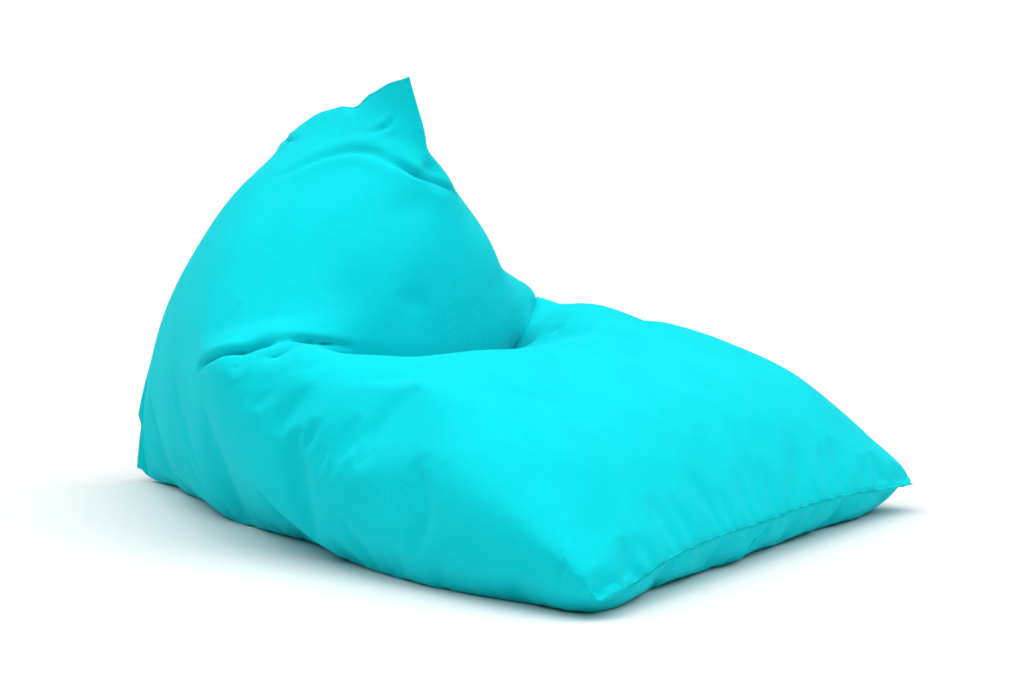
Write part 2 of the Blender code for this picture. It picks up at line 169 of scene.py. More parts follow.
# How far from its path a crease may reach: in rings, in columns and in metres.
CREASE_ROWS = 1.6
CREASE_COLUMNS = 2.2
CREASE_REACH = 0.09
FOLDS = (
    # Near end of the crease between the seat and the backrest.
    (((6.8, 1.6), (6.85, 2.2), (6.95, 2.75), (7.1, 3.2), (7.3, 3.6), (7.7, 4.1)), SHARP_CREASE,
     (0, 0.9, 1.5, 1.6, 1.1, 0)),
    # The far end, which folds over itself.
    (((6.4, 14.6), (6.2, 13.8), (6.0, 13.1), (6.1, 12.3)), SHARP_CREASE, (0, 0.9, 1, 0)),
    # Under the ear, where it nods forward.
    (((9.55, 16.7), (9.3, 16.35), (9.1, 16.0), (8.9, 15.6), (8.75, 15.2)), EAR_CREASE,
     (0.1, 0.9, 1.1, 0.9, 0)),
    # The soft hollow that runs on from there round the near side, and the flap above it.
    (((9.45, 16.6), (9.7, 17.0), (9.75, 17.4), (9.65, 18.0), (9.6, 18.4)), SOFT_CREASE,
     (0.2, 1, 1, 0.7, 0)),
    (((10.5, 0.5), (10.2, 0.7), (10.0, 1.0)), SOFT_WRINKLE, (0, 1.4, 0)),
    # A notch in the seam line of the ear.
    (((10.95, 2.3), (10.7, 2.2), (10.4, 2.0)), NOTCH, (0.9, 0.8, 0)),
    # Soft wrinkles down the -X side.
    (((4.6, 3.5), (4.9, 4.1), (5.3, 4.6)), SOFT_WRINKLE, (0, 1, 0)),
    (((4.0, 3.5), (4.3, 4.1), (4.7, 4.6)), SOFT_WRINKLE, (0, 1, 0)),
    # Under the front seam.
    (((0.75, 7.6), (0.5, 7.85), (0.15, 8.25)), NOTCH, (1.6, 1.8, 0)),
)

# Broad swellings and hollows: place, height and radius in mm.
LUMPS = (
    ((6.9, 13.6), 16, 60),
    ((6.4, 14.3), 22, 50),
    ((1.8, 12.8), -4, 150),
    ((9.7, 16.0), -10, 30),
    ((4.6, 1.9), -18, 80),
    ((5.8, 2.6), 26, 65),
    ((0.45, 3.4), 5, 45),
    ((0.45, 4.6), 4, 45),
)

# Places that the fabric lies smooth round, and the radius in mm.
CALM = (((6.3, 2.75), 55), ((5.9, 3.0), 50))
CALM_ROUNDS = 14

# Fabric drawn aside round a place: how far it goes there along X, Y and Z, and the reach, in mm.
TUCKS = (
    ((0, 3.1), (0, 0, -9), 150),
    ((0, 4), (17, 8, -3), 60),
    ((0, 12), (9, -3, 8), 120),
    ((0.7, 11.3), (10, -8, -3), 70),
    ((11, 0.5), (0, 0, 4), 40),
    ((11, 1.0), (0, -2, -10), 36),
    ((11, 1.6), (0, 2, 2), 45),
    ((9.3, 0), (0, 26, 2), 44),
)
CORNER_CALM = 0.03
WAVE_KNOTS = 4096
WAVE_START = 100

# Zip, as in the part: its face runs on a circle about an axis along X, and both bags open along it.
FOOT_ROOM = 0.11
ZIP_LENGTH = 0.345
OPENING_HALF = 0.0065
PLACKET_HALF = 0.0145
PLACKET_RUN = 0.03
PLACKET_ROWS = (0.25, 0.5, 0.75, 1)
PLACKET_DIP = 0.0008
HEM_DEPTH = 0.0019
OPENING_RUN = 0.008
CLEAR_DEPTH = 0.04
CLEAR_EDGE = 0.04
CLEAR_DEPTH_EDGE = 0.02

# Small parts of the zips.
END_GAP = 0.0003
STOP_LENGTH = 0.003
COIL_DEPTH = 0.0027
TOOTH_PITCH = 0.0015
TOOTH_INNER = 0.0007
TOOTH_OUTER = 0.0031
TOOTH_BASE = 0.0001
TOOTH_INNER_SHOULDER = 0.0014
TOOTH_OUTER_SHOULDER = 0.0013
TOOTH_HEIGHT = 0.0019
TOOTH_ROUNDING = 0.0006
TOOTH_HALF_THICKNESS = 0.32
TOOTH_LEAN = 0.25
STITCH_PITCH = 0.0034
STITCH_LENGTH = 0.78
STITCH_OFFSET = 0.0095
STITCH_DEPTH = 0.0002
# A stitch's profile: place along it, and its thickness there as a share of the thread's.
STITCH_PROFILE = ((-0.5, 0.1), (-0.32, 0.8), (0.32, 0.8), (0.5, 0.1))
THREAD_RADIUS = 0.0003
THREAD_SIDES = 6
STOP_EDGE = 0.0004
SLIDER_EDGE = 0.0003
EDGE_SEGMENTS = 3
EDGE_ANGLE = math.radians(40)
FLAT_ANGLE = math.radians(0.5)

# Inner bags: how deep they lie, and how many rows of the outer grid their end seams stand back.
LINER_SEAM_DEPTH = 0.016
LINER_DEPTH = 0.033
LINER_END_ROWS = 5
BEAD_DEPTH = 0.04
BEAD_END_ROWS = 7

# Inner bags stay out of the narrow corners of the cover: how far they draw back there, and from how far
# round.
CORNER_RINGS = 2
CORNER_SHARE = 0.6
CORNER_REACH = 0.2
INNER_SMOOTHING = 6
# From the foot to the zip, the liner's seam comes back to the zip's circle between these shares of the way.
FOOT_FREE = (0.35, 0.7)

CAMERA_AZIMUTH = math.radians(-56.9)
CAMERA_ELEVATION = math.radians(9.0)
CAMERA_DISTANCE = 6.59
CAMERA_TARGET = Vector((0.045, -0.135, 0.325))
CAMERA_LENS = 133.1
SENSOR_WIDTH = 36
CAMERA_CLIP = 50

# Two wide overhead lights, as (direction they come from, strength), and an even sky for the rest.
FLOOR_HALF = 60
FLOOR_WHITE = 0.8
FLOOR_ROUGHNESS = 0.9
SKY = 0.12
SUN_SPREAD = math.radians(60)
SUNS = (((-0.3, 0.4, 1.0), 2.1), ((0.1, -0.5, 1.0), 2.35))


# ---- curves and grids ----

def catmull_rom(points, steps, closed=False):
    """Smooth curve through points along the first axis. steps is one number, or one for each span."""
    points = np.asarray(points, float)
    spans = len(points) if closed else len(points) - 1
    if closed:
        padded = np.concatenate([points[-1:], points, points[:2]])
    else:
        padded = np.concatenate([2 * points[:1] - points[1:2], points, 2 * points[-1:] - points[-2:-1]])
    steps = [steps] * spans if np.isscalar(steps) else steps
    out = []
    for span, count in enumerate(steps):
        a, b, c, d = padded[span:span + 4]
        for t in np.arange(count) / count:
            out.append(0.5 * (2 * b + (c - a) * t + (2 * a - 5 * b + 4 * c - d) * t ** 2
                              + (3 * b - a - 3 * c + d) * t ** 3))
    if not closed:
        out.append(points[-1])
    return np.array(out)


def placed(points):
    """Drawn centimetres to metres in the part's frame, on the -X half."""
    real = np.asarray(points, float) * (-0.01, 0.01, 0.01) * REAL_SIZE / DRAWN_SIZE
    real[..., 1] -= REAL_SIZE[1] / 2
    return real


def circle_through(first, second, third):
    """Centre and radius of the circle through three points of the plane X = 0."""
    a, b = second - first, third - first
    cross = 2 * (a[1] * b[2] - a[2] * b[1])
    y = first[1] + (b[2] * (a @ a) - a[2] * (b @ b)) / cross
    z = first[2] + (a[1] * (b @ b) - b[1] * (a @ a)) / cross
    centre = np.array((0, y, z))
    return centre, np.linalg.norm(first - centre)


ARC_CENTRE, SEAM_RADIUS = circle_through(placed(FOOT), placed(ARC_MIDDLE), placed(SHOULDER))


def arc_angle(point):
    return math.atan2(point[2] - ARC_CENTRE[2], point[1] - ARC_CENTRE[1])


FOOT_ANGLE = arc_angle(placed(FOOT))
SHOULDER_ANGLE = arc_angle(placed(SHOULDER))
ARC_COLUMNS = BOTTOM - EAR_COLUMNS
ZIP_RADIUS = SEAM_RADIUS * math.cos((SHOULDER_ANGLE - FOOT_ANGLE) / ARC_COLUMNS / 2)
ZIP_BOTTOM = FOOT_ANGLE + FOOT_ROOM / ZIP_RADIUS
ZIP_TOP = ZIP_BOTTOM + ZIP_LENGTH / ZIP_RADIUS


def on_arc(radius, angle, x=0.0):
    angle = np.asarray(angle, float)
    return ARC_CENTRE + np.stack(np.broadcast_arrays(x, radius * np.cos(angle), radius * np.sin(angle)), -1)


def cage():
    """All twelve rings with their sixteen columns, as metres."""
    arc = np.linspace(SHOULDER_ANGLE, FOOT_ANGLE, ARC_COLUMNS + 1)
    back = np.concatenate([placed(EAR_SEAM), on_arc(ZIP_RADIUS, arc)])
    front = placed(FRONT_SEAM)
    half = np.stack([np.concatenate([front, front[-2::-1]]), *placed(RINGS), back])
    far = half[:, BOTTOM - 1:0:-1] * (-1, 1, 1)
    return np.concatenate([half, far], 1)


def fine(grid, row_steps, column_steps):
    """The grid with smooth in-between rows and columns."""
    grid = catmull_rom(grid, row_steps)
    return catmull_rom(grid.transpose(1, 0, 2), column_steps, closed=True).transpose(1, 0, 2)


def smoothed(points, rounds):
    """The grid with its points moved to the middle of their neighbours, in rounds. Its end rows stay."""
    for _ in range(rounds):
        around = np.roll(points, 1, 1) + np.roll(points, -1, 1)
        inside = (around[1:-1] + points[:-2] + points[2:]) / 4
        points = np.concatenate([points[:1], inside, points[-1:]])
    return points


def places(steps, count):
    """Ring or column number of each line of a fine grid."""
    steps = [steps] * count if np.isscalar(steps) else steps
    return np.concatenate([span + np.arange(n) / n for span, n in enumerate(steps)] + [[count]])


class Surface:
    """A grid of points on the bag, with the ring and column of each of its lines."""

    def __init__(self, points, row_steps, column_steps):
        self.points = points
        self.rings = places(row_steps, SPANS)
        self.columns = places(column_steps, ROUND)[:-1]

    def at(self, path):
        """Points of the surface at (ring, column) places."""
        rows = np.interp([ring for ring, _ in path], self.rings, np.arange(len(self.rings)))
        columns = np.array([column for _, column in path]) % ROUND * len(self.columns) / ROUND
        low, left = np.floor(rows).astype(int), np.floor(columns).astype(int)
        high = np.minimum(low + 1, len(self.rings) - 1)
        right = (left + 1) % len(self.columns)
        left %= len(self.columns)
        a, b = (rows - low)[:, None], (columns - np.floor(columns))[:, None]
        grid = self.points
        return ((1 - a) * ((1 - b) * grid[low, left] + b * grid[low, right])
                + a * ((1 - b) * grid[high, left] + b * grid[high, right]))

    def normals(self):
        along = np.gradient(self.points, axis=0)
        round_ = np.roll(self.points, -1, 1) - np.roll(self.points, 1, 1)
        across = np.cross(along, round_)
        across[0], across[-1] = across[1], across[-2]
        return across / np.maximum(np.linalg.norm(across, axis=2, keepdims=True), 1e-12)

    def push(self, amounts):
        """Moves the points outward by these distances. The end seams stay where they are."""
        amounts[0] = amounts[-1] = 0
        self.points = self.points + self.normals() * amounts[..., None]
        self.points[..., 2] = np.maximum(self.points[..., 2], 0)

    def swell(self, place, height, radius):
        """Pushes out the fabric round one place."""
        away = np.linalg.norm(self.points - self.at([place])[0], axis=2)
        turn = np.abs((self.columns - place[1] + ROUND / 2) % ROUND - ROUND / 2) < SIDE
        amount = height * np.exp(-(away / radius) ** 2) * turn
        self.points = self.points + self.normals() * amount[..., None]
        self.points[..., 2] = np.maximum(self.points[..., 2], 0)
        self.sew()

    def calm(self, place, radius):
        """Smooths the fabric round one place."""
        away = np.linalg.norm(self.points - self.at([place])[0], axis=2, keepdims=True)
        even = smoothed(self.points, CALM_ROUNDS)
        self.points = self.points + (even - self.points) * np.exp(-(away / radius) ** 4)

    def sew(self):
        """Brings the two halves of each end seam back together."""
        count = len(self.columns)
        index = np.arange(count)
        self.points[0] = (self.points[0] + self.points[0][(count // 2 - index) % count]) / 2
        self.points[-1] = (self.points[-1] + self.points[-1][-index % count]) / 2

    def retreat(self, corner, goal, reach):
        """Draws the fabric round a corner to a goal."""
        away = np.linalg.norm(self.points - corner, axis=2, keepdims=True)
        share = np.clip(1 - away / reach, 0, 1)
        self.points = self.points + (goal - corner) * share * share * (3 - 2 * share)

    def crease(self, path, profile, strength):
        """Pushes the fabric along a path of places by a profile of (distance across it, height), in mm.

        The strength runs along the path. Positive distances lie on the left of the path, seen from outside.
        """
        line = catmull_rom(path, CREASE_STEPS)
        spots = self.at(line)
        tangents = np.gradient(spots, axis=0)
        power = catmull_rom(np.array(strength, float)[:, None], CREASE_STEPS)[:, 0]
        power = np.interp(np.linspace(0, 1, len(line)), np.linspace(0, 1, len(power)), power)
        normals = self.normals()
        turn = np.abs((self.columns[:, None] - line[None, :, 1] + ROUND / 2) % ROUND - ROUND / 2).min(1)
        low, high = line[:, 0].min() - CREASE_ROWS, line[:, 0].max() + CREASE_ROWS
        near_rows = np.where((self.rings > low) & (self.rings < high))[0]
        near_columns = np.where(turn < CREASE_COLUMNS)[0]
        window = np.ix_(near_rows, near_columns)
        points, outward = self.points[window], normals[window]
        away = points[:, :, None, :] - spots[None, None]
        nearest = np.argmin((away ** 2).sum(-1), 2)
        offset = np.take_along_axis(away, nearest[..., None, None], 2)[:, :, 0]
        distance = np.linalg.norm(offset, axis=2)
        left = (np.cross(outward, tangents[nearest]) * offset).sum(2)
        signed = np.where(left >= 0, distance, -distance) / MM
        profile = np.array(profile, float)
        shape = catmull_rom(profile, PROFILE_STEPS)
        height = np.interp(signed, shape[:, 0], shape[:, 1], left=0, right=0) * MM
        height *= power[nearest] * (distance < CREASE_REACH)
        amounts = np.zeros(self.points.shape[:2])
        amounts[window] = height
        self.push(amounts)


def wave(seed, places_along, length):
    """Smooth noise from -1 to 1 along a line, with bumps of about this length."""
    chance = np.random.default_rng(seed)
    knots = chance.uniform(-1, 1, WAVE_KNOTS)
    t = np.asarray(places_along, float) / length + WAVE_START
    low = np.floor(t).astype(int)
    s = t - low
    s = s * s * (3 - 2 * s)
    return knots[low % WAVE_KNOTS] * (1 - s) + knots[(low + 1) % WAVE_KNOTS] * s


# ---- meshes ----

def column_angles(columns):
    """Angle about the arc's centre of each column of the back seam, on either half."""
    near = np.minimum(columns, ROUND - columns)
    return SHOULDER_ANGLE + (near - EAR_COLUMNS) / ARC_COLUMNS * (FOOT_ANGLE - SHOULDER_ANGLE)


def opening_half(columns):
    """Half the width of the zip's opening at each column of the back seam."""
    angles = column_angles(np.asarray(columns, float))
    run = OPENING_RUN / ZIP_RADIUS
    share = np.clip(np.minimum(angles - ZIP_BOTTOM, ZIP_TOP - angles) / run, -1, 0) + 1
    return OPENING_HALF * share * share * (3 - 2 * share)


def clear_the_zip(surface):
    """Keeps the flanks of the back seam wide enough for the zips that lie between them."""
    y, z = surface.points[..., 1] - ARC_CENTRE[1], surface.points[..., 2] - ARC_CENTRE[2]
    radius, angle = np.hypot(y, z), np.arctan2(z, y)
    beside = (bump_between(angle, ZIP_BOTTOM, ZIP_TOP, CLEAR_EDGE)
              * bump_between(radius, ZIP_RADIUS - CLEAR_DEPTH, 2 * ZIP_RADIUS, CLEAR_DEPTH_EDGE))
    side = np.where(surface.columns <= BOTTOM, -1, 1)
    x = surface.points[..., 0]
    widened = side * np.maximum(np.abs(x), PLACKET_HALF)
    surface.points[..., 0] = x + (widened - x) * beside * (np.arange(len(x)) > len(x) / 2)[:, None]


def placket_half(columns):
    """Half the width of the flat strip that the zip is set in, which narrows to nothing past its ends."""
    angles = column_angles(np.asarray(columns, float))
    run = PLACKET_RUN / ZIP_RADIUS
    share = np.clip(np.minimum(angles - ZIP_BOTTOM, ZIP_TOP - angles) / run, -1, 0) + 1
    return PLACKET_HALF * share * share * (3 - 2 * share)


def set_back_seam(surface, depth=0):
    """Puts the arc of the back seam on the zip's circle."""
    columns = surface.columns
    near = np.minimum(columns, ROUND - columns)
    side = np.where(columns <= BOTTOM, -1, 1)
    angles = column_angles(columns)
    spots = on_arc(ZIP_RADIUS - depth, angles, side * placket_half(columns))
    middle = surface.points[-1] * (0, 1, 1)
    if depth:
        # The foot of an inner bag stays where it drew back to.
        low, high = FOOT_FREE
        way = (angles - FOOT_ANGLE) / (ZIP_BOTTOM - FOOT_ANGLE)
        spots = middle + (spots - middle) * np.clip((way - low) / (high - low), 0, 1)[:, None]
    surface.points[-1] = np.where((near >= EAR_COLUMNS)[:, None], spots, middle)


def add_placket(surface, depth=0):
    """Continues the grid past the back seam with the flat strip, up to the edges of the zip's opening."""
    columns = surface.columns
    near = np.minimum(columns, ROUND - columns)
    side = np.where(columns <= BOTTOM, -1, 1)
    on_strip = ((near >= EAR_COLUMNS) & (placket_half(columns) > 0))[:, None]
    rows = []
    for share in PLACKET_ROWS:
        half = placket_half(columns) * (1 - share) + opening_half(columns) * share
        dip = PLACKET_DIP * share ** 2 * (placket_half(columns) > PLACKET_HALF / 2)
        spots = on_arc(ZIP_RADIUS - depth - dip, column_angles(columns), side * half)
        rows.append(np.where(on_strip, spots, surface.points[-1]))
    surface.points = np.concatenate([surface.points, rows])
    surface.rings = np.concatenate([surface.rings, SPANS + 0.01 * np.array(PLACKET_ROWS)])


def bag_mesh(name, surface):
    """Mesh of a surface. Points that lie on each other are sewn together, which closes both end seams."""
    rows, count = surface.points.shape[:2]
    table = np.arange(rows * count).reshape(rows, count)
    after = np.roll(table, -1, 1)
    faces = np.stack([table[:-1], after[:-1], after[1:], table[1:]], -1).reshape(-1, 4)
    mesh = bpy.data.meshes.new(name)
    mesh.from_pydata(surface.points.reshape(-1, 3).tolist(), [], faces[:, ::-1].tolist())
    made = bmesh.new()
    made.from_mesh(mesh)
    bmesh.ops.remove_doubles(made, verts=made.verts, dist=SEWN)
    edge = [e for e in made.edges if e.is_boundary]
    if edge:
        turned = bmesh.ops.extrude_edge_only(made, edges=edge)["geom"]
        for vert in (g for g in turned if isinstance(g, bmesh.types.BMVert)):
            inward = (Vector(ARC_CENTRE) - vert.co) * Vector((0, 1, 1))
            vert.co += inward.normalized() * HEM_DEPTH
            vert.co.x += math.copysign(HEM_DEPTH / 2, vert.co.x)
    bmesh.ops.recalc_face_normals(made, faces=made.faces)
    made.to_mesh(mesh)
    made.free()
    mesh.shade_smooth()
    obj = bpy.data.objects.new(name, mesh)
    bpy.context.scene.collection.objects.link(obj)
    return obj


# ---- camera, floor and lights ----

def add_camera():
    data = bpy.data.cameras.new("photo_camera")
    data.lens = CAMERA_LENS
    data.sensor_width = SENSOR_WIDTH
    data.clip_end = CAMERA_CLIP
    camera = bpy.data.objects.new("photo_camera", data)
    bpy.context.scene.collection.objects.link(camera)
    back = Vector((
        math.sin(CAMERA_AZIMUTH) * math.cos(CAMERA_ELEVATION),
        -math.cos(CAMERA_AZIMUTH) * math.cos(CAMERA_ELEVATION),
        math.sin(CAMERA_ELEVATION),
    ))
    camera.location = CAMERA_TARGET + back * CAMERA_DISTANCE
    camera.rotation_euler = (-back).to_track_quat("-Z", "Y").to_euler()
    bpy.context.scene.camera = camera


def add_studio():
    mesh = bpy.data.meshes.new("floor")
    r = FLOOR_HALF
    mesh.from_pydata([(-r, -r, 0), (r, -r, 0), (r, r, 0), (-r, r, 0)], [], [(0, 1, 2, 3)])
    floor = bpy.data.objects.new("floor", mesh)
    bpy.context.scene.collection.objects.link(floor)
    white = bpy.data.materials.new("floor_white")
    white.use_nodes = True
    shader = white.node_tree.nodes["Principled BSDF"]
    shader.inputs["Base Color"].default_value = (FLOOR_WHITE, FLOOR_WHITE, FLOOR_WHITE, 1)
    shader.inputs["Roughness"].default_value = FLOOR_ROUGHNESS
    mesh.materials.append(white)

    world = bpy.data.worlds.new("studio")
    bpy.context.scene.world = world
    world.use_nodes = True
    world.node_tree.nodes["Background"].inputs["Color"].default_value = (1, 1, 1, 1)
    world.node_tree.nodes["Background"].inputs["Strength"].default_value = SKY
    for number, (source, strength) in enumerate(SUNS):
        data = bpy.data.lights.new(f"softbox_{number}", "SUN")
        data.energy = strength
        data.angle = SUN_SPREAD
        light = bpy.data.objects.new(f"softbox_{number}", data)
        bpy.context.scene.collection.objects.link(light)
        light.rotation_euler = (-Vector(source)).to_track_quat("-Z", "Y").to_euler()
    bpy.context.scene.view_settings.view_transform = "Standard"


# ---- fabric ----

def settle(surface):
    """Lets the fabric settle in a short Cloth simulation: slack cloth buckles, and springs keep the form."""
    rows, count = surface.points.shape[:2]
    table = np.arange(rows * count).reshape(rows, count)
    after = np.roll(table, -1, 1)
    faces = np.stack([table[:-1], table[1:], after[1:], after[:-1]], -1).reshape(-1, 4)
    start = surface.points.reshape(-1, 3)
    mesh = bpy.data.meshes.new("settling")
    mesh.from_pydata(start.tolist(), [], faces.tolist())
    obj = bpy.data.objects.new("settling", mesh)
    bpy.context.scene.collection.objects.link(obj)

    hold, taut = cloth_weights(surface)
    for name, weights in (("hold", hold), ("taut", taut)):
        group = obj.vertex_groups.new(name=name)
        for level in np.unique(np.round(weights, 2)):
            chosen = np.flatnonzero(np.round(weights, 2).ravel() == level)
            group.add(chosen.tolist(), float(level), "REPLACE")

    cloth = obj.modifiers.new("cloth", "CLOTH")
    cloth.point_cache.frame_start = 1
    cloth.point_cache.frame_end = CLOTH_FRAMES
    settings = cloth.settings
    settings.quality = CLOTH_QUALITY
    settings.mass = CLOTH_MASS
    settings.air_damping = CLOTH_AIR
    settings.tension_stiffness = CLOTH_STRETCH
    settings.compression_stiffness = CLOTH_STRETCH
    settings.shear_stiffness = CLOTH_SHEAR
    settings.bending_stiffness = CLOTH_BENDING
    settings.vertex_group_mass = "hold"
    settings.pin_stiffness = CLOTH_HOLD
    settings.vertex_group_shrink = "taut"
    settings.shrink_min = -CLOTH_SLACK
    settings.shrink_max = 0
    settings.use_pressure = True
    settings.uniform_pressure_force = CLOTH_PRESSURE
    settings.effector_weights.gravity = 0
    cloth.collision_settings.use_collision = False
    scene = bpy.context.scene
    for number in range(1, CLOTH_FRAMES + 1):
        scene.frame_set(number)
    result = obj.evaluated_get(bpy.context.evaluated_depsgraph_get())
    ended = np.array([tuple(v.co) for v in result.data.vertices])
    scene.frame_set(1)
    bpy.data.objects.remove(obj)

    move = ended - start
    far = np.linalg.norm(move, axis=1, keepdims=True)
    move *= np.minimum(far, CLOTH_CAP) / np.maximum(far, 1e-9)
    surface.points = (start + move).reshape(rows, count, 3)
    surface.points[..., 2] = np.maximum(surface.points[..., 2], 0)


def bump_between(values, low, high, edge):
    """1 between low and high, falling smoothly to 0 over edge outside them."""
    share = np.clip(np.minimum(values - low, high - values) / edge + 1, 0, 1)
    return share * share * (3 - 2 * share)


def amount_at(ring, side, place):
    """The amount of one slack, taut or held place, fading over its edges."""
    amount, rings, columns = place
    share = amount * bump_between(ring, *rings)
    return share if columns is None else share * bump_between(side, *columns)


def cloth_weights(surface):
    """How firmly each point is held in place, and how taut the fabric is (1 is no slack)."""
    ring, column = np.meshgrid(surface.rings, surface.columns, indexing="ij")
    side = np.minimum(column, ROUND - column)
    height = surface.points[..., 2]
    slack = np.full(height.shape, SLACK_ALL)
    for place in SLACK_PLACES:
        slack += amount_at(ring, side, place)
    slack *= 1 - amount_at(ring, side, TAUT_EAR)
    hold = np.where(height < ON_FLOOR, HELD_ON_FLOOR, HELD_ELSEWHERE)
    hold += amount_at(ring, side, HELD_EAR)
    hold[0] = hold[-1] = 1
    return hold, 1 - np.clip(slack, 0, 1)


def gathers(surface, seam, seed):
    """Puckers beside an end seam ("front" or "back"), which pulls the fabric into short ribs."""
    points = surface.points if seam == "front" else surface.points[::-1]
    step = np.linalg.norm(np.diff(points, axis=0), axis=2)
    away = np.concatenate([np.zeros((1, step.shape[1])), np.cumsum(step, 0)]) / MM
    ribs = []
    for side in (0, 1):
        line = points[0, :]
        length = np.concatenate([[0], np.cumsum(np.linalg.norm(np.diff(line, axis=0), axis=1))]) / MM
        warp = WARP * wave(seed + side, length, WARP_LENGTH)
        amount = 0.5 + 0.5 * wave(seed + AMOUNT_SEED + side, length, AMOUNT_LENGTH)
        fine_ribs = np.abs(np.sin(math.pi * (length / RIB_FINE + warp))) - RIB_MEAN
        broad_ribs = np.abs(np.sin(math.pi * (length / RIB_BROAD + BROAD_WARP * warp))) - RIB_MEAN
        ribs.append((fine_ribs * amount, broad_ribs * amount))
    half = surface.columns <= BOTTOM if seam == "back" else np.abs(surface.columns - BOTTOM) > SIDE
    fine_ribs = np.where(half, ribs[0][0], ribs[1][0])
    broad_ribs = np.where(half, ribs[0][1], ribs[1][1])
    rise = 1 - np.exp(-away / RIB_RISE)
    groove = SEAM_GROOVE * np.exp(-away / GROOVE_REACH) * (1 if seam == "front" else BACK_GROOVE)
    height = rise * (RIB_FINE_HEIGHT * fine_ribs * np.exp(-away / RIB_FINE_REACH)
                     + RIB_BROAD_HEIGHT * broad_ribs * np.exp(-away / RIB_BROAD_REACH))
    height = height * seam_strength(surface, seam) - groove
    for corner in CORNERS:
        away_from = np.linalg.norm(points - surface.at([corner])[0], axis=2)
        height *= 1 - np.exp(-(away_from / CORNER_CALM) ** 2)
    surface.push((height if seam == "front" else height[::-1]) * MM)


def seam_strength(surface, seam):
    """How strongly the fabric gathers at each column of a seam."""
    near = np.minimum(surface.columns, ROUND - surface.columns)
    if seam == "front":
        return np.interp(surface.points[0, :, 0], *zip(*FRONT_GATHERS))
    return np.interp(near, *zip(*BACK_GATHERS))


def shape_folds(surface):
    """Folds that the bag takes where it is sat into, at its ear and where its corners meet the floor."""
    for place, height, radius in LUMPS:
        surface.swell(place, height * MM, radius * MM)
    for place, shift, reach in TUCKS:
        spot = surface.at([place])[0]
        surface.retreat(spot, spot + np.array(shift) * MM, reach * MM)
    for path, profile, strength in FOLDS:
        surface.crease(path, profile, strength)
    for place, radius in CALM:
        surface.calm(place, radius * MM)


# ---- zips ----

def linked(name, made):
    """An object of this mesh, in the scene."""
    bmesh.ops.recalc_face_normals(made, faces=made.faces)
    mesh = bpy.data.meshes.new(name)
    made.to_mesh(mesh)
    made.free()
    obj = bpy.data.objects.new(name, mesh)
    bpy.context.scene.collection.objects.link(obj)
    return obj


def directions(angle):
    """Outward and upward directions at an angle of the arc."""
    return Vector((0, math.cos(angle), math.sin(angle))), Vector((0, -math.sin(angle), math.cos(angle)))


def coil_teeth(name, side, radius, start, end):
    """One side of a coil zip: a row of small rounded loops along the arc."""
    inner, outer, rounding = TOOTH_INNER * side, TOOTH_OUTER * side, TOOTH_ROUNDING * side
    profile = ((inner, TOOTH_BASE), (inner, TOOTH_INNER_SHOULDER), (inner + rounding, TOOTH_HEIGHT),
               (outer - rounding, TOOTH_HEIGHT), (outer, TOOTH_OUTER_SHOULDER), (outer, TOOTH_BASE))
    half = TOOTH_PITCH * TOOTH_HALF_THICKNESS
    lean = TOOTH_PITCH * TOOTH_LEAN
    made = bmesh.new()
    for angle in np.arange(start, end, TOOTH_PITCH / radius):
        out, up = directions(angle)
        middle = Vector(on_arc(radius, angle))
        loops = [[made.verts.new(middle + out * height + up * (shift + lean * (x - inner) / (outer - inner))
                                 + Vector((x, 0, 0))) for x, height in profile] for shift in (-half, half)]
        made.faces.new(loops[0])
        made.faces.new(loops[1][::-1])
        for i in range(len(profile)):
            j = (i + 1) % len(profile)
            made.faces.new((loops[0][i], loops[1][i], loops[1][j], loops[0][j]))
    return linked(name, made)


def stitches(name, radius, start, end):
    """Two rows of thread beside the zip, each stitch a small capsule lying along the arc."""
    made = bmesh.new()
    turns = np.arange(THREAD_SIDES) * math.tau / THREAD_SIDES
    for side in (-1, 1):
        for angle in np.arange(start, end, STITCH_PITCH / radius):
            out, up = directions(angle)
            middle = Vector(on_arc(radius, angle, side * STITCH_OFFSET))
            rings = [[made.verts.new(
                middle + up * (along * STITCH_PITCH * STITCH_LENGTH)
                + (out * math.sin(t) + Vector((math.cos(t), 0, 0))) * THREAD_RADIUS * size)
                for t in turns] for along, size in STITCH_PROFILE]
            for low, high in zip(rings, rings[1:]):
                for i in range(THREAD_SIDES):
                    j = (i + 1) % THREAD_SIDES
                    made.faces.new((low[i], low[j], high[j], high[i]))
            made.faces.new(rings[0])
            made.faces.new(rings[-1])
    obj = linked(name, made)
    obj.data.shade_smooth()
    return obj


def softened(node, width):
    """A copy of a CAD node with its edges rounded, which stands for it."""
    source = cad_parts[node]
    mesh = source.data.copy()
    mesh.name = node + "_rounded"
    mesh.materials.clear()
    made = bmesh.new()
    made.from_mesh(mesh)
    bmesh.ops.remove_doubles(made, verts=made.verts, dist=SEWN)
    bmesh.ops.dissolve_limit(made, angle_limit=FLAT_ANGLE, verts=made.verts, edges=made.edges)
    made.to_mesh(mesh)
    made.free()
    obj = bpy.data.objects.new(node + "_rounded", mesh)
    bpy.context.scene.collection.objects.link(obj)
    edge = obj.modifiers.new("edge", "BEVEL")
    edge.width = width
    edge.segments = EDGE_SEGMENTS
    edge.limit_method = "ANGLE"
    edge.angle_limit = EDGE_ANGLE
    mesh.shade_smooth()
    return obj


# ---- materials ----

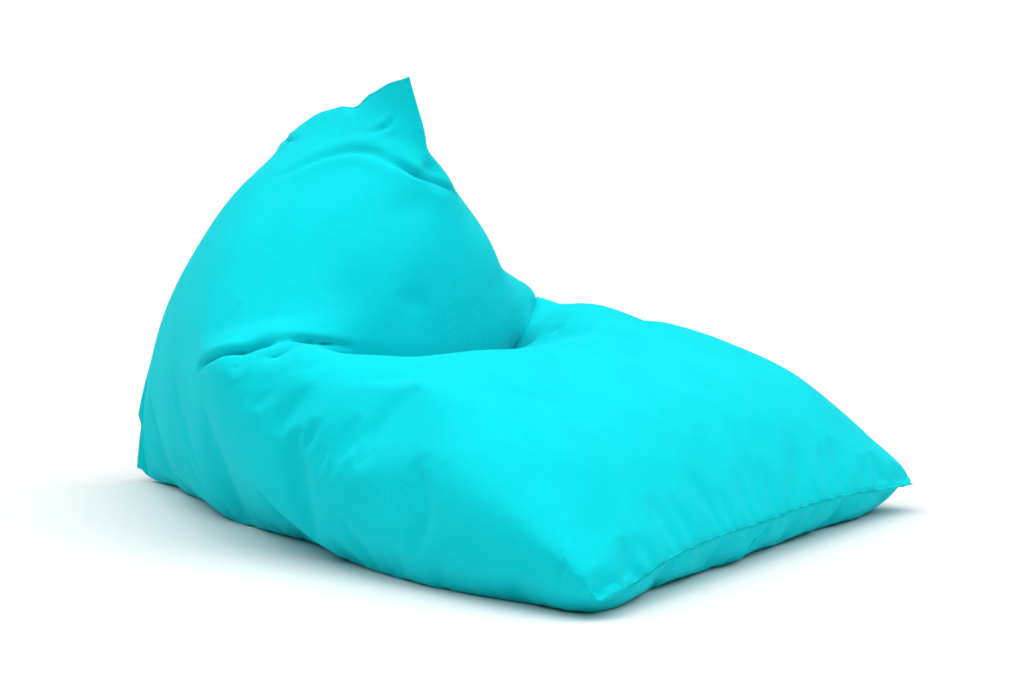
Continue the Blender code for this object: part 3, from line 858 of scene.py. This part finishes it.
class Nodes:
    """A material's node tree, with short calls for adding and joining nodes."""

    def __init__(self, name):
        self.material = bpy.data.materials.new(name)
        self.material.use_nodes = True
        self.tree = self.material.node_tree
        self.shader = self.tree.nodes["Principled BSDF"]
        self.place = self.add("ShaderNodeTexCoord").outputs["Object"]

    def add(self, kind, inputs=None, **values):
        node = self.tree.nodes.new(kind)
        for key, value in values.items():
            setattr(node, key, value)
        for key, value in (inputs or {}).items():
            self.put(node.inputs[key], value)
        return node

    def put(self, socket, value):
        if isinstance(value, bpy.types.NodeSocket):
            self.tree.links.new(value, socket)
        else:
            socket.default_value = value

    def maths(self, operation, a, b):
        return self.add("ShaderNodeMath", {0: a, 1: b}, operation=operation).outputs[0]

    def noise(self, size, detail=3.0):
        """Noise from 0 to 1 with features of about this size in metres."""
        made = self.add("ShaderNodeTexNoise", {"Vector": self.place, "Scale": 1 / size, "Detail": detail})
        return made.outputs["Fac"]

    def weave(self, pitch):
        """Crossing threads in all three directions, so that the cloth has them however it lies."""
        total = None
        for axis in "XYZ":
            bands = self.add("ShaderNodeTexWave", {
                "Vector": self.place, "Scale": 2 * math.pi / 20 / pitch, "Distortion": 0.6, "Detail": 1.0,
                "Detail Scale": 4.0,
            }, bands_direction=axis)
            band = bands.outputs["Fac"]
            total = band if total is None else self.maths("ADD", total, band)
        return self.maths("DIVIDE", total, 3.0)

    def cells(self, size):
        made = self.add("ShaderNodeTexVoronoi", {"Vector": self.place, "Scale": 1 / size})
        return made.outputs["Distance"]

    def heights(self, *layers):
        """Bump from (pattern, height in metres) layers."""
        total = None
        for pattern, height in layers:
            layer = self.maths("MULTIPLY", pattern, height)
            total = layer if total is None else self.maths("ADD", total, layer)
        bump = self.add("ShaderNodeBump", {"Height": total, "Strength": 1.0, "Distance": 1.0})
        self.put(self.shader.inputs["Normal"], bump.outputs["Normal"])

    def colours(self, pattern, low, high, contrast=1.0):
        """Colour from low to high by a pattern from 0 to 1."""
        ramp = self.add("ShaderNodeMapRange", {
            "Value": pattern, "From Min": 0.5 - 0.5 / contrast, "From Max": 0.5 + 0.5 / contrast,
        })
        mix = self.add("ShaderNodeMix", {"Factor": ramp.outputs[0]}, data_type="RGBA")
        self.put(mix.inputs[6], (*low, 1))
        self.put(mix.inputs[7], (*high, 1))
        self.put(self.shader.inputs["Base Color"], mix.outputs[2])

    def roughness(self, pattern, low, high):
        ramp = self.add("ShaderNodeMapRange", {"Value": pattern, "To Min": low, "To Max": high})
        self.put(self.shader.inputs["Roughness"], ramp.outputs[0])

    def plain(self, **values):
        for key, value in values.items():
            self.shader.inputs[key.replace("_", " ")].default_value = value


def cover_material():
    """Plain-woven matt polyester."""
    m = Nodes("turquoise_polyester")
    weave, soft, uneven = m.weave(WEAVE_PITCH), m.noise(0.02, 4), m.noise(0.0045, 2)
    tone = m.maths("ADD", m.maths("MULTIPLY", m.noise(0.09, 5), 0.6), m.maths("MULTIPLY", weave, 0.4))
    m.colours(tone, *TURQUOISE, contrast=1.6)
    m.roughness(uneven, 0.78, 0.92)
    m.heights((weave, 0.00012), (soft, 0.0009), (uneven, 0.00016))
    m.plain(Sheen_Weight=0.02, Sheen_Roughness=0.5, Specular_IOR_Level=0.06)
    return m.material


def liner_material():
    """White non-woven polypropylene with its bonded dimples."""
    m = Nodes("white_nonwoven")
    dimples = m.cells(0.0022)
    m.colours(m.noise(0.03, 4), *WHITE_NONWOVEN, contrast=1.5)
    m.roughness(m.noise(0.01), 0.8, 0.95)
    m.heights((dimples, 0.0003), (m.noise(0.015, 4), 0.0012))
    return m.material


def bead_material():
    """Expanded polystyrene beads, with painted shade in the gaps between them."""
    m = Nodes("polystyrene_beads")
    beads = m.cells(0.0042)
    # Colour darkens from each bead's middle to its edge: painted shade in the gaps between the beads.
    m.colours(beads, *BEAD_WHITE_AND_PAINTED_GAP_SHADE, contrast=1.2)
    m.roughness(m.noise(0.004), 0.45, 0.65)
    m.heights((m.maths("MULTIPLY", beads, -1.0), 0.0024), (m.noise(0.0007), 0.00005))
    return m.material


def tape_material(name, low, high):
    """Narrow woven zip tape."""
    m = Nodes(name)
    weave = m.weave(0.0007)
    m.colours(weave, low, high, contrast=1.4)
    m.roughness(m.noise(0.003), 0.75, 0.9)
    m.heights((weave, 0.00012), (m.noise(0.004), 0.0001))
    return m.material


def coil_material(name, low, high):
    """Drawn nylon filament."""
    m = Nodes(name)
    m.colours(m.noise(0.006), low, high, contrast=1.3)
    m.roughness(m.noise(0.0012), 0.3, 0.45)
    m.heights((m.noise(0.0005), 0.00002),)
    return m.material


def metal_material():
    """Nickel-plated zinc, a little rubbed."""
    m = Nodes("nickel_plated")
    rubbed = m.noise(0.0022, 5)
    m.colours(rubbed, *NICKEL, contrast=1.8)
    m.roughness(m.noise(0.0009, 4), 0.22, 0.48)
    m.heights((m.noise(0.0004, 3), 0.000012),)
    m.plain(Metallic=1.0)
    return m.material


# ---- inner bags ----

def inner_surface(outer, depth, end_rows, seam_depth=None):
    """The surface of a bag inside outer. Its end seams are sewn where end_rows of outer's rows end."""
    inner = Surface(smoothed(outer.points, INNER_SMOOTHING), 1, 1)
    inner.rings, inner.columns = outer.rings, outer.columns
    inner.push(np.full(outer.points.shape[:2], -depth))
    rows = inner.points[end_rows:-end_rows]
    count = rows.shape[1]
    index = np.arange(count)
    front = (rows[0] + rows[0][(count // 2 - index) % count]) / 2
    back = (rows[-1] + rows[-1][-index % count]) / 2
    inner.points = np.concatenate([front[None], rows, back[None]])
    inner.rings = np.concatenate([[0], outer.rings[end_rows:-end_rows], [SPANS]])
    for corner in CORNERS:
        tip = outer.at([corner])[0]
        ring = outer.at([(abs(corner[0] - CORNER_RINGS), column) for column in range(ROUND)]).mean(0)
        inner.retreat(tip, tip + (ring - tip) * CORNER_SHARE, CORNER_REACH)
    if seam_depth is not None:
        set_back_seam(inner, seam_depth)
        add_placket(inner, seam_depth)
    return inner


# ---- the whole scene ----

def finer(surface):
    """The settled surface on a finer grid, finest beside the two end seams."""
    ends = [FINER_ENDS] * SETTLE_ROWS
    steps = ends + [FINER] * (SETTLE_ROWS * (SPANS - 2)) + ends
    made = Surface(fine(surface.points, steps, FINER), 1, 1)
    lines = np.concatenate([[0], np.cumsum(steps)])
    made.rings = np.interp(np.arange(lines[-1] + 1), lines, surface.rings)
    made.columns = np.arange(FINER * len(surface.columns)) / (FINER * SETTLE_COLUMNS)
    made.points[..., 2] = np.maximum(made.points[..., 2], 0)
    return made


def dressed(obj, material, body, *nodes):
    """Gives a piece its material and its body, and hides the CAD nodes that it stands for."""
    obj.data.materials.clear()
    obj.data.materials.append(material)
    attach(obj, body)
    if nodes:
        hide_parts(*nodes)
    return obj


def add_bags():
    surface = Surface(fine(cage(), SETTLE_ROWS, SETTLE_COLUMNS), SETTLE_ROWS, SETTLE_COLUMNS)
    surface.points[..., 2] = np.maximum(surface.points[..., 2], 0)
    settle(surface)
    liner = inner_surface(surface, LINER_DEPTH, LINER_END_ROWS, LINER_SEAM_DEPTH)
    beads = inner_surface(surface, BEAD_DEPTH, BEAD_END_ROWS)
    cover = finer(surface)
    shape_folds(cover)
    gathers(cover, "front", FRONT_SEED)
    gathers(cover, "back", BACK_SEED)
    clear_the_zip(cover)
    set_back_seam(cover)
    add_placket(cover)

    for name, shape, material, node in (
        ("cover_fabric", cover, cover_material(), "cover"),
        ("liner_fabric", liner, liner_material(), "liner"),
        ("bead_filling", beads, bead_material(), "bead_fill"),
    ):
        dressed(bag_mesh(name, shape), material, "bag", node)


def add_zip(prefix, radius, slider_body, tape, coil, metal, thread):
    """One zip's looks: teeth, tapes, stops, slider and the thread that holds the tapes."""
    margin = (STOP_LENGTH + 2 * END_GAP) / radius
    for side, name in ((-1, "left"), (1, "right")):
        teeth = coil_teeth(f"{prefix}_teeth_{name}", side, radius - COIL_DEPTH, ZIP_BOTTOM + margin,
                           ZIP_TOP - margin)
        dressed(teeth, coil, "bag", f"{prefix}_coil_{name}")
        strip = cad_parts[f"{prefix}_tape_{name}"]
        strip.data.materials.clear()
        strip.data.materials.append(tape)
    for name in ("stop_bottom", "stop_top"):
        dressed(softened(f"{prefix}_{name}", STOP_EDGE), metal, "bag", f"{prefix}_{name}")
    dressed(softened(f"{prefix}_slider", SLIDER_EDGE), metal, slider_body, f"{prefix}_slider")
    dressed(stitches(f"{prefix}_stitching", radius - STITCH_DEPTH, ZIP_BOTTOM, ZIP_TOP), thread, "bag")


def main():
    add_camera()
    add_studio()
    add_bags()
    metal = metal_material()
    blue_tape = tape_material("turquoise_tape", *TURQUOISE_TAPE)
    blue_coil = coil_material("turquoise_nylon", *TURQUOISE_NYLON)
    white_tape = tape_material("white_tape", *WHITE_TAPE)
    white_coil = coil_material("white_nylon", *WHITE_NYLON)
    add_zip("zip", ZIP_RADIUS, "slider", blue_tape, blue_coil, metal, blue_coil)
    add_zip("liner_zip", ZIP_RADIUS - LINER_SEAM_DEPTH, "liner_slider", white_tape, white_coil, metal,
            white_coil)
    dressed(softened("zip_pull_tab", SLIDER_EDGE), metal, "pull_tab", "zip_pull_tab")


main()
